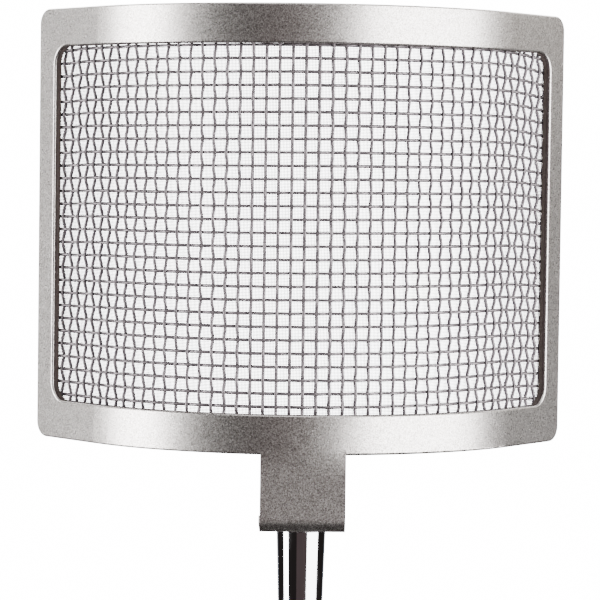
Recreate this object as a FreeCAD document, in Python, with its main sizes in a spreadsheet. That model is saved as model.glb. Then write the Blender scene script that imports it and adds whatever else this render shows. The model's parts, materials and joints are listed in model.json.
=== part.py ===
"""Curved wire-mesh pop filter on a bending gooseneck, with a screw clamp for a microphone stand.

Frame: millimetres, +Z up. The origin is on the axis of the stand tube that the clamp grips, at the
clamp's mid height. The filter's convex face looks along -Y and its hollow side, where the microphone
goes, along +Y.
"""

import FreeCAD, Part
import math
import os
import Sketcher

V = FreeCAD.Vector
doc = FreeCAD.newDocument("pop_filter")


# ---------------------------------------------------------------- driving dimensions
sheet = doc.addObject("Spreadsheet::Sheet", "Sizes")
SIZES = [
    # filter head: one curved strip, an arc with a straight flank at each side
    ("arc_angle", 52.0, "half angle of the arc, degrees"),
    ("face_radius", 71.2, "outside radius of the front bezel"),
    ("flank_length", 27.3, "straight flank beyond the arc, to the edge"),
    ("head_height", 118.2, "height of the bezel"),
    ("band_width", 10.5, "width of the bezel's bands above and below the window"),
    ("side_band", 7.5, "width of the bezel's bands beside the window"),
    ("edge_round", 0.6, "rounding of the front bezel's edges"),
    ("bezel_wall", 1.1, "front bezel's sheet"),
    ("gasket_gap", 1.15, "front face to the gasket's front"),
    ("gasket_thick", 1.0, "gasket between the bezel and the cloth"),
    ("rim_wall", 1.4, "rim folded back round the front bezel"),
    ("head_depth", 5.6, "front bezel's depth over the rim"),
    ("outer_corner", 4.2, "outer corner radius"),
    ("window_corner", 5.0, "window corner radius"),
    ("cloth_gap", 2.7, "front face to the woven cloth's solid"),
    ("cloth_thick", 0.5, "woven cloth's solid"),
    ("screen_gap", 3.75, "front face to the fine screen"),
    ("screen_thick", 0.2, "fine screen's solid"),
    ("rear_gap", 4.0, "front face to the rear bezel's front"),
    ("rear_wall", 1.4, "rear bezel's sheet"),
    ("rear_band", 9.0, "head's edge to the rear bezel's window, above and below"),
    ("rear_side", 3.0, "head's edge to the rear bezel's window, at the sides"),
    ("rim_clear", 0.2, "play between the rim and what lies in it"),
    ("screw_radius", 1.0, "rear bezel screw shank"),
    ("screw_head", 2.0, "rear bezel screw head radius"),
    ("screw_rise", 1.1, "rear bezel screw head height"),
    ("screw_room", 0.2, "play of a screw in the gasket and the meshes"),
    ("blind_floor", 0.35, "metal left in front of a screw's blind hole"),
    ("screw_tip", 0.45, "front face to a screw's tip"),
    # tab under the head
    ("tab_width", 22.5, "width of the tab"),
    ("tab_drop", 20.5, "bezel's lower edge to the tab's underside"),
    ("tab_wall", 2.2, "tab's sheet"),
    ("tab_bend", 3.5, "outside radius of the tab's bend"),
    ("tab_depth", 20.0, "front face to the shelf's back edge"),
    ("tab_blend", 5.0, "bezel's lower edge to where the tab is flat"),
    ("neck_setback", 11.0, "front face to the gooseneck's axis"),
    # gooseneck
    ("neck_offset", 30.0, "stand axis to the gooseneck's axis"),
    ("neck_radius", 4.5, "gooseneck's outside radius"),
    ("neck_joints", 8, "number of bending joints"),
    ("neck_free", 300.0, "gooseneck's length between its ferrules"),
    ("neck_tuck", 8.0, "gooseneck's length inside each ferrule"),
    ("ball_radius", 3.5, "ball of one gooseneck link"),
    ("socket_play", 0.1, "play round the ball"),
    ("link_core", 2.0, "core below the ball"),
    ("link_gap", 2.8, "room that lets one link tilt"),
    # ferrules
    ("upper_top", 6.5, "upper ferrule's radius under the tab"),
    ("upper_low", 5.35, "upper ferrule's radius at the gooseneck"),
    ("upper_long", 40.65, "upper ferrule's length"),
    ("swivel_gap", 0.15, "upper ferrule to the tab, which turns on it"),
    ("lower_low", 6.75, "lower ferrule's radius at the clamp"),
    ("lower_top", 5.1, "lower ferrule's radius at the gooseneck"),
    ("lower_long", 28.0, "lower ferrule's length"),
    ("ferrule_bore", 4.6, "ferrule's bore for the gooseneck"),
    ("ferrule_relief", 1.2, "bore's depth past the gooseneck's end"),
    ("ferrule_mouth", 0.6, "chamfer at a ferrule's mouth"),
    ("ferrule_rim", 0.2, "chamfer under the tab"),
    ("lower_collar", 4.0, "straight collar at the lower ferrule's foot"),
    ("stud_long", 26.0, "stud's length"),
    ("stud_grip", 8.0, "stud's length in the lower ferrule"),
    ("stud_bore", 11.0, "depth of the lower ferrule's tapped hole"),
    ("nut_radius", 5.7, "nut's radius over its corners"),
    ("nut_high", 5.0, "nut's height"),
    ("nut_sink", 0.9, "clamp's underside to the nut"),
    ("nut_pocket", 7.0, "radius of the nut's pocket"),
    ("pocket_deep", 6.0, "depth of the nut's pocket"),
    ("stud_radius", 3.0, "stud that holds the lower ferrule"),
    ("bolt_radius", 2.5, "screw that holds the head"),
    ("bolt_grip", 10.0, "head screw's length in the ferrule"),
    ("bolt_bore", 12.0, "depth of the upper ferrule's tapped hole"),
    ("button_radius", 4.6, "head screw's button"),
    ("button_high", 2.8, "height of the button"),
    ("socket_radius", 1.75, "hexagon socket's radius over its corners"),
    ("socket_floor", 1.3, "button's underside to the socket's floor"),
    ("washer_thick", 0.8, "washers on the head screw"),
    ("washer_radius", 4.5, "washers' radius"),
    ("washer_play", 0.15, "washers' play round the screw"),
    ("recess_radius", 4.6, "recess for the friction washer"),
    # clamp
    ("body_height", 24.0, "height of the clamp body"),
    ("tube_radius", 11.0, "stand tube"),
    ("liner_thick", 2.0, "rubber saddle liner"),
    ("jaw_face", 4.6, "stand axis to the fixed jaw's face"),
    ("jaw_back", 39.5, "stand axis to the body's end"),
    ("jaw_half", 14.0, "half width of the fixed jaw"),
    ("spine_in", 13.8, "stand axis to the spine's inside"),
    ("spine_out", 21.0, "stand axis to the spine's outside"),
    ("arm_in", 25.5, "stand axis to the screw arm's inside"),
    ("arm_out", 34.5, "stand axis to the screw arm's outside"),
    ("arm_half", 9.5, "screw arm's half width past the screw"),
    ("casting_round", 1.2, "rounding of the casting's outside edges"),
    ("clamp_screw_radius", 3.95, "clamp screw"),
    ("bush_radius", 6.0, "threaded bush in the screw arm"),
    ("bush_sink", 0.3, "arm's faces to the bush's ends"),
    ("bush_play", 0.06, "play drawn between the bush and the clamp screw"),
    ("pad_face", 11.2, "stand axis to the pressure pad at rest"),
    ("pad_rubber_thick", 1.5, "rubber on the pressure pad"),
    ("pad_radius", 8.0, "pressure pad"),
    ("pad_deep", 4.5, "pressure pad's cup"),
    ("tip_radius", 2.8, "ball tip of the clamp screw"),
    ("tip_sink", 3.2, "cup's face to the ball tip's centre"),
    ("tip_play", 0.08, "play round the ball tip"),
    ("cup_mouth", 2.45, "radius of the cup's mouth, smaller than the ball"),
    ("screw_neck", 2.1, "clamp screw's neck behind its tip"),
    ("neck_long", 5.0, "ball tip's centre to the thread"),
    ("knob_start", 45.0, "stand axis to the knob's inside face"),
    ("knob_long", 18.0, "knob's length"),
    ("knob_radius", 15.0, "knob's radius over its lobes"),
    ("knob_lobes", 7, "number of lobes"),
    ("scallop_radius", 5.0, "scallop between two lobes"),
    ("scallop_out", 2.6, "knob's radius to the scallop's centre"),
    ("lobe_round", 1.6, "rounding along the lobes"),
    ("end_round", 1.3, "rounding of the knob's ends"),
    ("hub_radius", 7.5, "knob's hub"),
    ("hub_long", 3.5, "hub's length"),
    ("screw_short", 6.0, "knob's outer end to the screw's end"),
    ("cap_radius", 6.0, "knob's cap"),
    ("cap_thick", 1.5, "cap's thickness"),
    # fits and cutting tools
    ("snug", 0.05, "play of a close fit"),
    ("thread_play", 0.02, "play drawn between a thread and its hole"),
    ("past", 60.0, "length of a cutting tool that passes right through"),
]
size = {}
for row, (alias, value, words) in enumerate(SIZES, start=1):
    sheet.set(f"A{row}", alias)
    sheet.set(f"B{row}", str(value))
    sheet.set(f"C{row}", words)
    sheet.setAlias(f"B{row}", alias)
    size[alias] = float(value)
doc.recompute()

# heights that follow from the driving dimensions, in the sheet's own words
CLAMP_TOP = "Sizes.body_height / 2"
NECK_FOOT = f"({CLAMP_TOP} + Sizes.lower_long)"
NECK_HEAD = f"({NECK_FOOT} + Sizes.neck_free)"
UPPER_TOP = f"({NECK_HEAD} + Sizes.upper_long)"
TAB_FOOT = f"({UPPER_TOP} + Sizes.swivel_gap)"
HEAD_FOOT = f"({TAB_FOOT} + Sizes.tab_drop)"
NECK_Y = "-Sizes.neck_offset"
FACE_Y = f"({NECK_Y} - Sizes.neck_setback)"
ARC_Y = f"({FACE_Y} + Sizes.face_radius)"


def number(expression):
    """The value, in millimetres, of an expression on the sheet's cells."""
    value = sheet.evalExpression(expression)
    return float(getattr(value, "Value", value))


nodes = {}


def node(label, thing):
    """Names a finished sub-part; the label is its file's name."""
    thing.Label = label
    nodes[label] = thing
    return thing


def bind(thing, **properties):
    """Binds properties of a document object to expressions on the sheet."""
    for name, expression in properties.items():
        thing.setExpression(name.replace("__", "."), expression)
    return thing


def place(thing, across="0", along="0", up="0", turn=None):
    """Binds an object's place to the sheet, after giving it its rotation."""
    if turn is not None:
        thing.Placement = FreeCAD.Placement(V(), FreeCAD.Rotation(*turn))
    bind(thing, **{
        "Placement__Base__x": across,
        "Placement__Base__y": along,
        "Placement__Base__z": up,
    })
    return thing


def cylinder(name, radius, height, across="0", along="0", up="0", turn=None):
    thing = doc.addObject("Part::Cylinder", name)
    bind(thing, Radius=radius, Height=height)
    return place(thing, across, along, up, turn)


def ball(name, radius, across="0", along="0", up="0"):
    thing = doc.addObject("Part::Sphere", name)
    bind(thing, Radius=radius)
    return place(thing, across, along, up)


def block(name, length, width, height, across, along, up):
    thing = doc.addObject("Part::Box", name)
    bind(thing, Length=length, Width=width, Height=height)
    return place(thing, across, along, up)


def cut(name, base, tool):
    thing = doc.addObject("Part::Cut", name)
    thing.Base, thing.Tool = base, tool
    return thing


def fuse(name, shapes):
    thing = doc.addObject("Part::MultiFuse", name)
    thing.Shapes = shapes
    thing.Refine = True
    return thing


def common(name, shapes):
    thing = doc.addObject("Part::MultiCommon", name)
    thing.Shapes = shapes
    return thing


def group(name, shapes):
    thing = doc.addObject("Part::Compound", name)
    thing.Links = shapes
    return thing


def round_edges(name, base, radius, wanted):
    """Fillets the edges of base for which wanted(edge) is true."""
    doc.recompute()
    thing = doc.addObject("Part::Fillet", name)
    thing.Base = base
    found = [i for i, e in enumerate(base.Shape.Edges, start=1) if wanted(e)]
    thing.Edges = [(i, radius, radius) for i in found]
    return thing


def plane_of(body, role):
    return next(f for f in body.Origin.OriginFeatures if f.Role == role)


def sketch_on(body, name, role):
    sketch = body.newObject("Sketcher::SketchObject", name)
    sketch.AttachmentSupport = (plane_of(body, role), [""])
    sketch.MapMode = "FlatFace"
    return sketch


def outline(sketch, points):
    """A closed outline of straight runs; each point is a pair of expressions on the sheet."""
    flat = [(number(x), number(y)) for x, y in points]
    last = len(points) - 1
    for i, (x, y) in enumerate(flat):
        nx, ny = flat[0 if i == last else i + 1]
        sketch.addGeometry(Part.LineSegment(V(x, y, 0), V(nx, ny, 0)), False)
    for i in range(len(points)):
        follows = 0 if i == last else i + 1
        sketch.addConstraint(Sketcher.Constraint("Coincident", i, 2, follows, 1))
    for i, (point, (x, y)) in enumerate(zip(points, flat)):
        for kind, axis, expression, value in (
            ("DistanceX", -2, point[0], x),
            ("DistanceY", -1, point[1], y),
        ):
            if abs(value) < 1e-9:
                sketch.addConstraint(Sketcher.Constraint("PointOnObject", i, 1, axis))
            else:
                index = sketch.addConstraint(Sketcher.Constraint(kind, -1, 1, i, 1, value))
                sketch.setExpression(f"Constraints[{index}]", expression)


def padded(name, points, height, role="XY_Plane", midplane=True):
    """A body made of one outline and one pad."""
    body = doc.addObject("PartDesign::Body", name)
    sketch = sketch_on(body, name + "_outline", role)
    outline(sketch, points)
    pad = body.newObject("PartDesign::Pad", name + "_pad")
    pad.Profile = sketch
    pad.Midplane = midplane
    bind(pad, Length=height)
    return body


def turned(name, points):
    """A body turned about Z: each point is (radius, height)."""
    body = doc.addObject("PartDesign::Body", name)
    sketch = sketch_on(body, name + "_outline", "XZ_Plane")
    outline(sketch, points)
    turn = body.newObject("PartDesign::Revolution", name + "_turn")
    turn.Profile = sketch
    turn.ReferenceAxis = (sketch, ["V_Axis"])
    turn.Angle = 360
    return body


def strip(name, outer_gap, inner_gap, trim, foot, top, corner=None):
    """A body curved like the head: an arc and two flanks, between two depths behind the front face.

    trim is how far its edges stay inside the head's own edges, foot and top its heights.
    """
    body = doc.addObject("PartDesign::Body", name)
    sketch = sketch_on(body, name + "_outline", "XY_Plane")
    outer = number(f"Sizes.face_radius - ({outer_gap})")
    inner = number(f"Sizes.face_radius - ({inner_gap})")
    half = math.radians(size["arc_angle"])
    run = number(f"Sizes.flank_length - ({trim})")
    low, high = -math.pi / 2 - half, -math.pi / 2 + half
    tangent = V(math.cos(half), math.sin(half), 0)
    ends = {}
    for radius, key in ((outer, "outer"), (inner, "inner")):
        circle = Part.Circle(V(), V(0, 0, 1), radius)
        sketch.addGeometry(Part.ArcOfCircle(circle, low, high), False)
        start = V(radius * math.cos(high), radius * math.sin(high), 0)
        ends[key] = (start, start + tangent * run)
    for key in ("outer", "inner"):
        sketch.addGeometry(Part.LineSegment(*ends[key]), False)
    sketch.addGeometry(Part.LineSegment(ends["outer"][1], ends["inner"][1]), False)
    for key in ("outer", "inner"):
        start, end = (V(-p.x, p.y, 0) for p in ends[key])
        sketch.addGeometry(Part.LineSegment(start, end), False)
    left = [V(-ends[key][1].x, ends[key][1].y, 0) for key in ("outer", "inner")]
    sketch.addGeometry(Part.LineSegment(*left), False)
    rule = Sketcher.Constraint
    for arc in (0, 1):
        sketch.addConstraint(rule("Coincident", arc, 3, -1, 1))
        sketch.addConstraint(rule("Tangent", arc, 2, 2 + arc, 1))
        sketch.addConstraint(rule("Tangent", arc, 1, 5 + arc, 1))
    for cap, first, second in ((4, 2, 3), (7, 5, 6)):
        sketch.addConstraint(rule("Coincident", first, 2, cap, 1))
        sketch.addConstraint(rule("Coincident", second, 2, cap, 2))
        sketch.addConstraint(rule("Perpendicular", first, cap))
        sketch.addConstraint(rule("Parallel", first, second))
    for index, expression in (
        (sketch.addConstraint(rule("Radius", 0, outer)), f"Sizes.face_radius - ({outer_gap})"),
        (sketch.addConstraint(rule("Radius", 1, inner)), f"Sizes.face_radius - ({inner_gap})"),
        (sketch.addConstraint(rule("Distance", 2, run)), f"Sizes.flank_length - ({trim})"),
        (sketch.addConstraint(rule("Distance", 5, run)), f"Sizes.flank_length - ({trim})"),
        (sketch.addConstraint(rule("Angle", -1, 1, 2, 1, half)), "Sizes.arc_angle * 1 deg"),
    ):
        sketch.setExpression(f"Constraints[{index}]", expression)
    sketch.addConstraint(rule("Symmetric", 0, 1, 0, 2, -2))
    pad = body.newObject("PartDesign::Pad", name + "_pad")
    pad.Profile = sketch
    bind(pad, Length=f"({top}) - ({foot})")
    doc.recompute()
    if corner is not None:
        def corner_edge(e):
            level = abs(e.Vertexes[0].Z - e.Vertexes[-1].Z) < 1e-6
            return level and abs(e.Length - abs(outer - inner)) < 1e-3

        edges = [f"Edge{i}" for i, e in enumerate(pad.Shape.Edges, start=1) if corner_edge(e)]
        fillet = body.newObject("PartDesign::Fillet", name + "_corners")
        fillet.Base = (pad, edges)
        bind(fillet, Radius=corner)
    return place(body, "0", ARC_Y, foot)


# ---------------------------------------------------------------- filter head
HEAD_TOP = f"({HEAD_FOOT} + Sizes.head_height)"


def inset(amount):
    """Foot and top of something that stays that far inside the head's edges."""
    return f"({HEAD_FOOT} + {amount})", f"({HEAD_TOP} - ({amount}))"


def window(name, band, side):
    """What a window takes out: it passes right through the head."""
    foot, top = inset(band)
    return strip(name, "-Sizes.head_depth", "2 * Sizes.head_depth", side, foot, top, "Sizes.window_corner")


def depth_of(point):
    """How far a point of the head lies behind the front face."""
    half = math.radians(size["arc_angle"])
    across, along = abs(point.x), number(ARC_Y) - point.y
    if math.atan2(across, along) <= half:
        return size["face_radius"] - math.hypot(across, along)
    return size["face_radius"] - across * math.sin(half) - along * math.cos(half)


def front_edge(e):
    """An edge round the front face or its window; the arc's straight seams are not."""
    middle = e.valueAt((e.FirstParameter + e.LastParameter) / 2)
    upright = math.hypot(e.Vertexes[0].X - e.Vertexes[-1].X, e.Vertexes[0].Y - e.Vertexes[-1].Y) < 1e-3
    seam = upright and depth_is_seam(middle)
    return abs(depth_of(middle)) < 1e-3 and not seam


def depth_is_seam(point):
    """True on the line where the arc runs into a flank."""
    half = math.radians(size["arc_angle"])
    return abs(math.atan2(abs(point.x), number(ARC_Y) - point.y) - half) < 1e-3


# front bezel: a pressed tray, its rim folded back, with the tab hanging from its lower band
blank = strip("bezel_blank", "0", "Sizes.head_depth", "0", HEAD_FOOT, HEAD_TOP, "Sizes.outer_corner")
foot, top = inset("Sizes.rim_wall")
tray = strip("bezel_tray", "Sizes.bezel_wall", "2 * Sizes.head_depth", "Sizes.rim_wall", foot, top,
             "Sizes.outer_corner - Sizes.rim_wall")
opening = window("bezel_window", "Sizes.band_width", "Sizes.side_band")
square_shell = cut("bezel_shell", cut("bezel_hollow", blank, tray), opening)
shell = round_edges("bezel_rounded", square_shell, size["edge_round"], front_edge)

# the tab is curved like the band where it leaves it, and flat below
TAB_ROOT = f"({HEAD_FOOT} + Sizes.rim_wall)"
TAB_FLAT = f"({HEAD_FOOT} - Sizes.tab_blend)"
TAB_BACK = f"({FACE_Y} + Sizes.tab_wall)"
tab_bar = padded("tab_bar", [
    (FACE_Y, TAB_FLAT),
    (FACE_Y, TAB_FOOT),
    (f"{FACE_Y} + Sizes.tab_depth", TAB_FOOT),
    (f"{FACE_Y} + Sizes.tab_depth", f"{TAB_FOOT} + Sizes.tab_wall"),
    (TAB_BACK, f"{TAB_FOOT} + Sizes.tab_wall"),
    (TAB_BACK, TAB_FLAT),
], "Sizes.tab_width", role="YZ_Plane")


def curved_section(name):
    """The tab's section at its root: two arcs like the band's, closed by straight ends."""
    sketch = doc.addObject("Sketcher::SketchObject", name)
    half = size["tab_width"] / 2
    radii = ("Sizes.face_radius", "(Sizes.face_radius - Sizes.tab_wall)")
    ends = []
    for expression in radii:
        radius = number(expression)
        reach = math.asin(half / radius)
        circle = Part.Circle(V(), V(0, 0, 1), radius)
        sketch.addGeometry(Part.ArcOfCircle(circle, -math.pi / 2 - reach, -math.pi / 2 + reach), False)
        ends.append(-radius * math.cos(reach))
    for side in (1, -1):
        sketch.addGeometry(Part.LineSegment(V(side * half, ends[0], 0), V(side * half, ends[1], 0)), False)
    rule = Sketcher.Constraint
    for line, arc_end in ((2, 2), (3, 1)):
        sketch.addConstraint(rule("Coincident", line, 1, 0, arc_end))
        sketch.addConstraint(rule("Coincident", line, 2, 1, arc_end))
        sketch.addConstraint(rule("Vertical", line))
    for arc, expression in enumerate(radii):
        sketch.addConstraint(rule("Coincident", arc, 3, -1, 1))
        index = sketch.addConstraint(rule("Radius", arc, number(expression)))
        sketch.setExpression(f"Constraints[{index}]", expression)
    for first, second in (((-1, 1), (0, 2)), ((0, 1), (-1, 1))):
        index = sketch.addConstraint(rule("DistanceX", *first, *second, half))
        sketch.setExpression(f"Constraints[{index}]", "Sizes.tab_width / 2")
    return place(sketch, "0", ARC_Y, TAB_ROOT)


def flat_section(name):
    """The tab's section where it is flat."""
    sketch = doc.addObject("Sketcher::SketchObject", name)
    outline(sketch, [
        ("-Sizes.tab_width / 2", FACE_Y),
        ("Sizes.tab_width / 2", FACE_Y),
        ("Sizes.tab_width / 2", TAB_BACK),
        ("-Sizes.tab_width / 2", TAB_BACK),
    ])
    return place(sketch, "0", "0", TAB_FLAT)


tab_neck = doc.addObject("Part::Loft", "tab_neck")
tab_neck.Sections = [curved_section("tab_root_section"), flat_section("tab_flat_section")]
tab_neck.Solid = tab_neck.Ruled = True


def tab_bend_edge(e):
    """The front edge of the tab's underside, where the sheet is bent back."""
    middle = e.CenterOfMass
    return abs(middle.z - number(TAB_FOOT)) < 1e-3 and abs(middle.y - number(FACE_Y)) < 1e-3


tab_rounded = round_edges("tab_rounded", tab_bar, size["tab_bend"], tab_bend_edge)
tab_hole = cylinder("tab_hole", "Sizes.bolt_radius + Sizes.snug", "Sizes.tab_drop",
                    along=NECK_Y, up=f"{TAB_FOOT} - Sizes.tab_drop / 2")
tab = fuse("tab", [cut("tab_bored", tab_rounded, tab_hole), tab_neck])

# five places on the arc, by turn and level, for the screws that hold the rear bezel
screw_rows = [f"({HEAD_FOOT} + Sizes.band_width / 2)", f"({HEAD_TOP} - Sizes.band_width / 2)"]
screw_turns = (-36.0, 0.0, 36.0)


def screw_pins(name, radius, near, far):
    """Pins that point at the head's axis, from one depth behind the front face to another."""
    made = []
    for level, height in enumerate(screw_rows):
        for place_no, turn in enumerate(screw_turns):
            if level == 0 and turn == 0.0:
                continue
            pin = doc.addObject("Part::Cylinder", f"{name}_{level}_{place_no}")
            bind(pin, Radius=radius, Height=f"({far}) - ({near})")
            rotation = FreeCAD.Rotation(V(0, 0, 1), turn) * FreeCAD.Rotation(V(1, 0, 0), -90)
            pin.Placement = FreeCAD.Placement(V(), rotation)
            reach = f"(Sizes.face_radius - ({near}))"
            bind(pin, **{
                "Placement__Base__x": f"{reach} * sin({turn} deg)",
                "Placement__Base__y": f"{ARC_Y} - {reach} * cos({turn} deg)",
                "Placement__Base__z": height,
            })
            made.append(pin)
    return made


blind = fuse("bezel_screw_holes", screw_pins(
    "blind", "Sizes.screw_radius + Sizes.snug", "Sizes.blind_floor", "2 * Sizes.head_depth"))
node("front_bezel", cut("front_bezel_solid", fuse("front_bezel_shape", [shell, tab]), blind))

TRIM = "(Sizes.rim_wall + Sizes.rim_clear)"
foot, top = inset(TRIM)


def bored(label, blank, room):
    """A layer of the head with holes that let the screws pass."""
    holes = fuse(label + "_holes", screw_pins(
        label + "_hole", f"Sizes.screw_radius + Sizes.{room}", "0", "2 * Sizes.head_depth"))
    return node(label, cut(label + "_solid", blank, holes))


def ring(label, gap, thick, band, side, room):
    """A curved ring inside the rim, with a window."""
    blank = strip(label + "_blank", gap, f"{gap} + {thick}", TRIM, foot, top, f"Sizes.outer_corner - {TRIM}")
    return bored(label, cut(label + "_open", blank, window(label + "_window", band, side)), room)


def sheet_layer(label, gap, thick):
    """A curved sheet inside the rim."""
    return bored(label, strip(label + "_blank", gap, f"{gap} + {thick}", TRIM, foot, top), "screw_room")


ring("bezel_gasket", "Sizes.gasket_gap", "Sizes.gasket_thick", "Sizes.band_width", "Sizes.side_band",
     "screw_room")
ring("rear_bezel", "Sizes.rear_gap", "Sizes.rear_wall", "Sizes.rear_band", "Sizes.rear_side", "snug")
sheet_layer("outer_mesh", "Sizes.cloth_gap", "Sizes.cloth_thick")
sheet_layer("inner_screen", "Sizes.screen_gap", "Sizes.screen_thick")

SCREW_SEAT = "(Sizes.rear_gap + Sizes.rear_wall + Sizes.snug)"
shanks = screw_pins("shank", "Sizes.screw_radius", "Sizes.screw_tip", f"{SCREW_SEAT} + Sizes.snug")
heads = screw_pins("screw_top", "Sizes.screw_head", SCREW_SEAT, f"{SCREW_SEAT} + Sizes.screw_rise")
pairs = [fuse(f"bezel_screw_{i}", [a, b]) for i, (a, b) in enumerate(zip(shanks, heads))]
node("bezel_screws", group("bezel_screw_group", pairs))

# ---------------------------------------------------------------- upper ferrule and the head's screw
ferrule = place(turned("upper_ferrule_body", [
    ("0", "0"),
    ("Sizes.upper_low - Sizes.ferrule_mouth", "0"),
    ("Sizes.upper_low", "Sizes.ferrule_mouth"),
    ("Sizes.upper_top", "Sizes.upper_long - Sizes.ferrule_rim"),
    ("Sizes.upper_top - Sizes.ferrule_rim", "Sizes.upper_long"),
    ("0", "Sizes.upper_long"),
]), "0", NECK_Y, NECK_HEAD)
bore = cylinder("upper_bore", "Sizes.ferrule_bore", "Sizes.neck_tuck + 2 * Sizes.ferrule_relief",
                along=NECK_Y, up=f"{NECK_HEAD} - Sizes.ferrule_relief")
tapped = cylinder("upper_tapped", "Sizes.bolt_radius + Sizes.thread_play", "2 * Sizes.bolt_bore",
                  along=NECK_Y, up=f"{UPPER_TOP} - Sizes.bolt_bore")
WASHER_SEAT = f"({TAB_FOOT} - Sizes.snug - Sizes.washer_thick)"
seat = cylinder("washer_recess", "Sizes.recess_radius", "2 * Sizes.washer_thick",
                along=NECK_Y, up=f"{WASHER_SEAT} - Sizes.thread_play")
node("upper_ferrule", cut("upper_ferrule_solid", ferrule, fuse("upper_holes", [bore, tapped, seat])))

SHELF_TOP = f"({TAB_FOOT} + Sizes.tab_wall)"
BUTTON_SEAT = f"({SHELF_TOP} + 2 * Sizes.snug + Sizes.washer_thick)"
shank = cylinder("head_screw_shank", "Sizes.bolt_radius", f"{BUTTON_SEAT} - {UPPER_TOP} + Sizes.bolt_grip",
                 along=NECK_Y, up=f"{UPPER_TOP} - Sizes.bolt_grip")
button = cylinder("head_screw_button", "Sizes.button_radius", "Sizes.button_high",
                  along=NECK_Y, up=BUTTON_SEAT)
socket = doc.addObject("Part::Prism", "head_screw_socket")
socket.Polygon = 6
bind(socket, Circumradius="Sizes.socket_radius", Height="Sizes.button_high")
place(socket, "0", NECK_Y, f"{BUTTON_SEAT} + Sizes.socket_floor")
node("head_screw", cut("head_screw_solid", fuse("head_screw_shape", [shank, button]), socket))


def washer(label, up):
    disc = cylinder(label + "_disc", "Sizes.washer_radius", "Sizes.washer_thick", along=NECK_Y, up=up)
    hole = cylinder(label + "_hole", "Sizes.bolt_radius + Sizes.washer_play", "3 * Sizes.washer_thick",
                    along=NECK_Y, up=f"{up} - Sizes.washer_thick")
    return node(label, cut(label + "_solid", disc, hole))


washer("spring_washer", f"({SHELF_TOP} + Sizes.snug)")
washer("friction_washer", WASHER_SEAT)

# ---------------------------------------------------------------- gooseneck: links that tilt on balls
joints = int(size["neck_joints"])
PITCH = "(Sizes.neck_free / Sizes.neck_joints)"


def joint_height(number_up):
    return f"({NECK_FOOT} + {PITCH} * ({number_up} - 0.5))"


def link(label, foot_height, top_height, socket_below, ball_above):
    """One stiff length of the gooseneck between two heights, with a socket below and a ball above."""
    body_top = f"({top_height} - Sizes.link_gap)" if ball_above else top_height
    parts = [cylinder(label + "_tube", "Sizes.neck_radius", f"{body_top} - {foot_height}",
                      along=NECK_Y, up=foot_height)]
    if ball_above:
        parts.append(cylinder(label + "_core", "Sizes.link_core", "2 * Sizes.link_gap",
                              along=NECK_Y, up=f"{body_top} - Sizes.link_gap"))
        parts.append(ball(label + "_ball", "Sizes.ball_radius", along=NECK_Y, up=top_height))
    shape = fuse(label + "_shape", parts) if len(parts) > 1 else parts[0]
    if socket_below:
        shape = cut(label + "_solid", shape,
                    ball(label + "_socket", "Sizes.ball_radius + Sizes.socket_play",
                         along=NECK_Y, up=foot_height))
    return node(label, shape)


link("gooseneck_foot", f"({NECK_FOOT} - Sizes.neck_tuck)", joint_height(1), False, True)
for n in range(1, joints):
    link(f"gooseneck_link_{n}", joint_height(n), joint_height(n + 1), True, True)
link("gooseneck_top", joint_height(joints), f"({NECK_HEAD} + Sizes.neck_tuck)", True, False)

# ---------------------------------------------------------------- clamp body and what is fixed to it
# outline seen from above, with its corners cut off
frame_body = padded("clamp_frame", [
    ("-Sizes.jaw_half + 3", "-Sizes.jaw_back"),
    ("Sizes.spine_out - 5", "-Sizes.jaw_back"),
    ("Sizes.spine_out", "-Sizes.jaw_back + 5"),
    ("Sizes.spine_out", "Sizes.arm_out - 4"),
    ("Sizes.spine_out - 4", "Sizes.arm_out"),
    ("-Sizes.arm_half + 2", "Sizes.arm_out"),
    ("-Sizes.arm_half", "Sizes.arm_out - 2"),
    ("-Sizes.arm_half", "Sizes.arm_in + 2"),
    ("-Sizes.arm_half + 2", "Sizes.arm_in"),
    ("Sizes.spine_in - 3", "Sizes.arm_in"),
    ("Sizes.spine_in", "Sizes.arm_in - 3"),
    ("Sizes.spine_in", "-Sizes.jaw_face"),
    ("-Sizes.jaw_half", "-Sizes.jaw_face"),
    ("-Sizes.jaw_half", "-Sizes.jaw_back + 3"),
], "Sizes.body_height")
LYING = (V(1, 0, 0), -90)
LOW = "-Sizes.past / 2"


def outside_edge(e):
    """The casting's long outside edges at its top and bottom faces."""
    middle = e.CenterOfMass
    on_face = abs(abs(middle.z) - size["body_height"] / 2) < 1e-3
    outside = abs(middle.x) > size["spine_in"] or abs(middle.y) > size["arm_in"]
    return on_face and e.Length > size["arm_half"] and outside


softened = round_edges("clamp_softened", frame_body, size["casting_round"], outside_edge)
holes = [
    cylinder("saddle_seat", "Sizes.tube_radius + Sizes.liner_thick", "Sizes.past", up=LOW),
    cylinder("stud_hole", "Sizes.stud_radius + Sizes.snug", "Sizes.past", along=NECK_Y, up=LOW),
    cylinder("nut_pocket", "Sizes.nut_pocket", "2 * Sizes.pocket_deep",
             along=NECK_Y, up="-Sizes.body_height / 2 - Sizes.pocket_deep"),
    cylinder("bush_seat", "Sizes.bush_radius", "Sizes.past", along="Sizes.spine_in", turn=LYING),
]
node("clamp_body", cut("clamp_body_solid", softened, fuse("clamp_holes", holes)))

# the liner is a curved pad that fills the fixed jaw's saddle and stands out to the tube's radius
liner_ring = cut("liner_ring",
                 cylinder("liner_outside", "Sizes.tube_radius + Sizes.liner_thick",
                          "Sizes.body_height - 1", up="-(Sizes.body_height - 1) / 2"),
                 cylinder("liner_inside", "Sizes.tube_radius", "Sizes.past", up=LOW))
liner_side = block("liner_side", "Sizes.past", "Sizes.past", "Sizes.past",
                   LOW, "-Sizes.past - Sizes.jaw_face", LOW)
node("saddle_liner", common("saddle_liner_solid", [liner_ring, liner_side]))

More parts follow.
